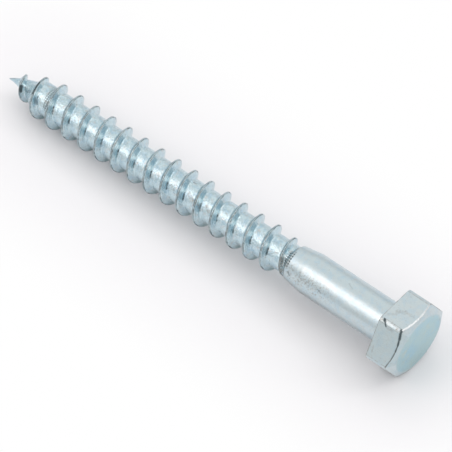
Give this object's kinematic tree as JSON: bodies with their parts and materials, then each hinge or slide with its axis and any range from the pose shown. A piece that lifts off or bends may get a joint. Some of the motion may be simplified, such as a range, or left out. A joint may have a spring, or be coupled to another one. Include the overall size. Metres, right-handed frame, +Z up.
{
  "type": "hex head wood screw",
  "caption": "Coarse wood screw with a hexagon head, a plain shank, a right-hand thread with a wide root and a gimlet point.",
  "frame": {"origin": "middle of the screw's box, on the floor it rests on", "axes": "+X along the screw from its point to its head, +Z up from the floor, +Y across. The screw lies at rest, so its own axis climbs about two degrees towards the head."},
  "size_m": [0.0884, 0.0148, 0.0132],
  "materials": {
    "screw": "bright zinc plating over cold-formed steel, slightly mottled"
  },
  "bodies": {
    "root": {"screw": "screw"}
  },
  "joints": []
}
